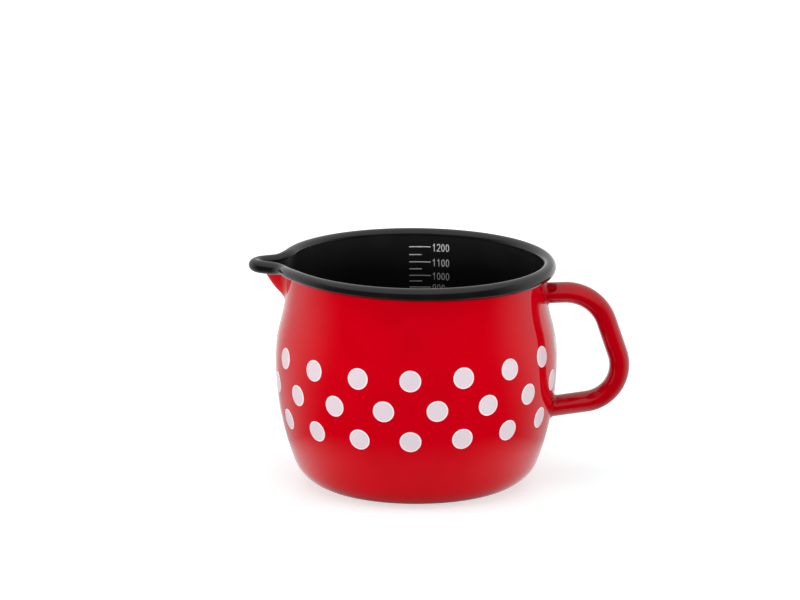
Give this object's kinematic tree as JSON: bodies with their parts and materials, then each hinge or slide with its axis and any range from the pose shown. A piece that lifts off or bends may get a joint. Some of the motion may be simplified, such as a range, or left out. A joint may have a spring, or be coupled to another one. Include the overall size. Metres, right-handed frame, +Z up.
{
  "type": "cooking pot",
  "caption": "Enamelled steel belly pot with a pulled pouring spout, a rolled rim, a hollow loop handle and fired dots round the belly.",
  "frame": {"origin": "middle of the flat base, on the surface that the pot stands on", "axes": "+X towards the handle, -X towards the spout, +Z up out of the mouth"},
  "size_m": [0.1931, 0.1431, 0.1164],
  "materials": {
    "red_enamel": "glossy vitreous red enamel on steel",
    "black_enamel": "glossy vitreous black enamel",
    "rim_enamel": "satin vitreous black enamel on steel",
    "white_enamel": "glossy fired-on white enamel"
  },
  "bodies": {
    "root": {"vessel_shell": "red_enamel", "handle_outer_shell": "red_enamel", "handle_inner_shell": "red_enamel", "upper_handle_weld": "red_enamel", "lower_handle_weld": "red_enamel", "inner_lining": "black_enamel", "rim_roll": "rim_enamel", "dot_upper_01": "white_enamel", "dot_upper_02": "white_enamel", "dot_upper_03": "white_enamel", "dot_upper_04": "white_enamel", "dot_upper_05": "white_enamel", "dot_upper_06": "white_enamel", "dot_upper_07": "white_enamel", "dot_upper_08": "white_enamel", "dot_upper_09": "white_enamel", "dot_upper_10": "white_enamel", "dot_upper_11": "white_enamel", "dot_upper_12": "white_enamel", "dot_upper_13": "white_enamel", "dot_upper_14": "white_enamel", "dot_upper_15": "white_enamel", "dot_upper_16": "white_enamel", "dot_middle_01": "white_enamel", "dot_middle_02": "white_enamel", "dot_middle_03": "white_enamel", "dot_middle_04": "white_enamel", "dot_middle_05": "white_enamel", "dot_middle_06": "white_enamel", "dot_middle_07": "white_enamel", "dot_middle_08": "white_enamel", "dot_middle_09": "white_enamel", "dot_middle_10": "white_enamel", "dot_middle_11": "white_enamel", "dot_middle_12": "white_enamel", "dot_middle_13": "white_enamel", "dot_middle_14": "white_enamel", "dot_middle_15": "white_enamel", "dot_middle_16": "white_enamel", "dot_lower_01": "white_enamel", "dot_lower_02": "white_enamel", "dot_lower_03": "white_enamel", "dot_lower_04": "white_enamel", "dot_lower_06": "white_enamel", "dot_lower_07": "white_enamel", "dot_lower_08": "white_enamel", "dot_lower_09": "white_enamel", "dot_lower_10": "white_enamel", "dot_lower_11": "white_enamel", "dot_lower_12": "white_enamel", "dot_lower_13": "white_enamel", "dot_lower_14": "white_enamel", "dot_lower_15": "white_enamel", "dot_lower_16": "white_enamel"}
  },
  "joints": []
}
